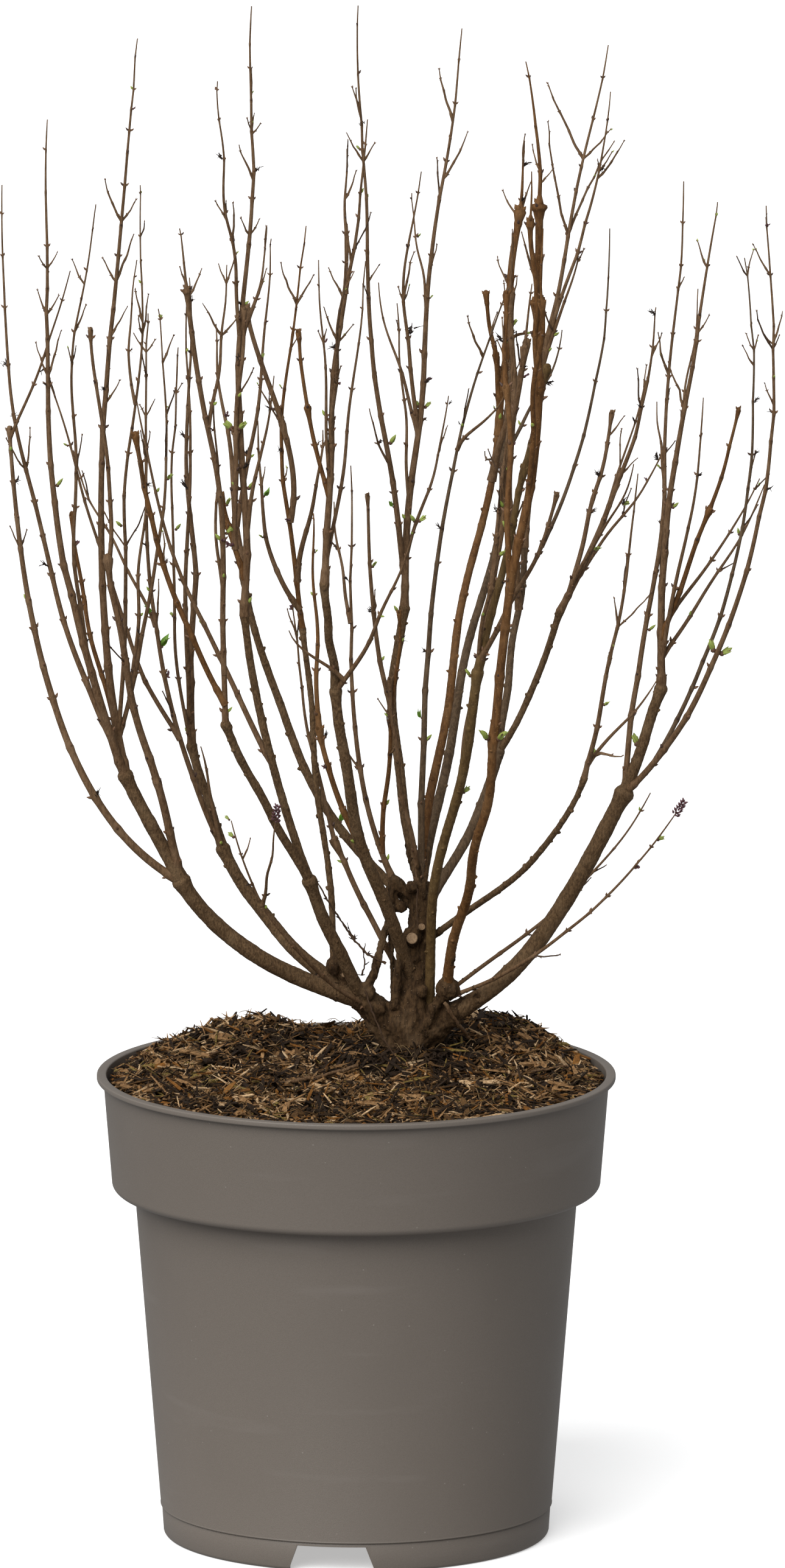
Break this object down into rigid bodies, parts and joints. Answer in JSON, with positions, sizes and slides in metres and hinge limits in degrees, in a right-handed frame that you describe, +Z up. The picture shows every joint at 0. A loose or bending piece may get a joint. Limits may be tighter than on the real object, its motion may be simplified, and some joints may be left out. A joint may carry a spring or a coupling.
{
  "type": "potted lilac shrub",
  "caption": "Leafless multi-stemmed lilac shrub in early bud, standing in a round ribless nursery pot topped with wood-chip mulch.",
  "frame": {"origin": "centre of the pot's flat underside, on the floor", "axes": "+Z up along the pot's axis; +X to the right and -Y towards a viewer in front"},
  "size_m": [0.4244, 0.3342, 0.836],
  "materials": {
    "pot_plastic": "satin moulded plastic, taupe, with a fine grain",
    "compost": "moist dark compost",
    "wood_chips": "rough shredded bark and wood chips",
    "bark": "grey-brown bark with fine lenticels",
    "shoots": "smooth young brown bark"
  },
  "bodies": {
    "root": {"pot": "pot_plastic", "soil": "compost", "mulch": "wood_chips", "trunk": "bark", "bough_left_low": "bark", "bough_left_low_upper": "bark", "bough_left_middle": "bark", "bough_left_middle_upper": "bark", "bough_left_steep": "bark", "bough_left_steep_outer": "bark", "bough_left_steep_inner": "bark", "bough_back_left": "bark", "bough_left_slender": "bark", "bough_front": "bark", "bough_front_upper": "bark", "bough_centre": "bark", "bough_back_right": "bark", "bough_back": "bark", "bough_front_right": "bark", "bough_front_right_outer": "bark", "bough_right_steep": "bark", "bough_right_steep_inner": "bark", "bough_right_steep_outer": "bark", "bough_right_slender": "bark", "bough_right_low": "bark", "bough_right_low_upper": "bark", "twigs_left_rim": "shoots", "twigs_left_outer": "shoots", "twigs_left_inner": "shoots", "twigs_left_back": "shoots", "twigs_left_knuckle": "shoots", "twigs_left_steep": "shoots", "twigs_top_left": "shoots", "twigs_back_left": "shoots", "twigs_left_slender": "shoots", "twigs_front_low": "shoots", "twigs_front": "shoots", "twigs_centre": "shoots", "twigs_top_centre": "shoots", "twigs_right_column": "shoots", "twigs_back_right": "shoots", "twigs_back": "shoots", "twigs_front_right": "shoots", "twigs_front_right_top": "shoots", "twigs_top_right": "shoots", "twigs_right_fan": "shoots", "twigs_right_slender": "shoots", "twigs_right_middle": "shoots", "twigs_right_rim": "shoots", "twigs_right_knuckle": "shoots", "twigs_low_right_back": "shoots", "twigs_low_right_front": "shoots", "twigs_low_left": "shoots"}
  },
  "joints": []
}
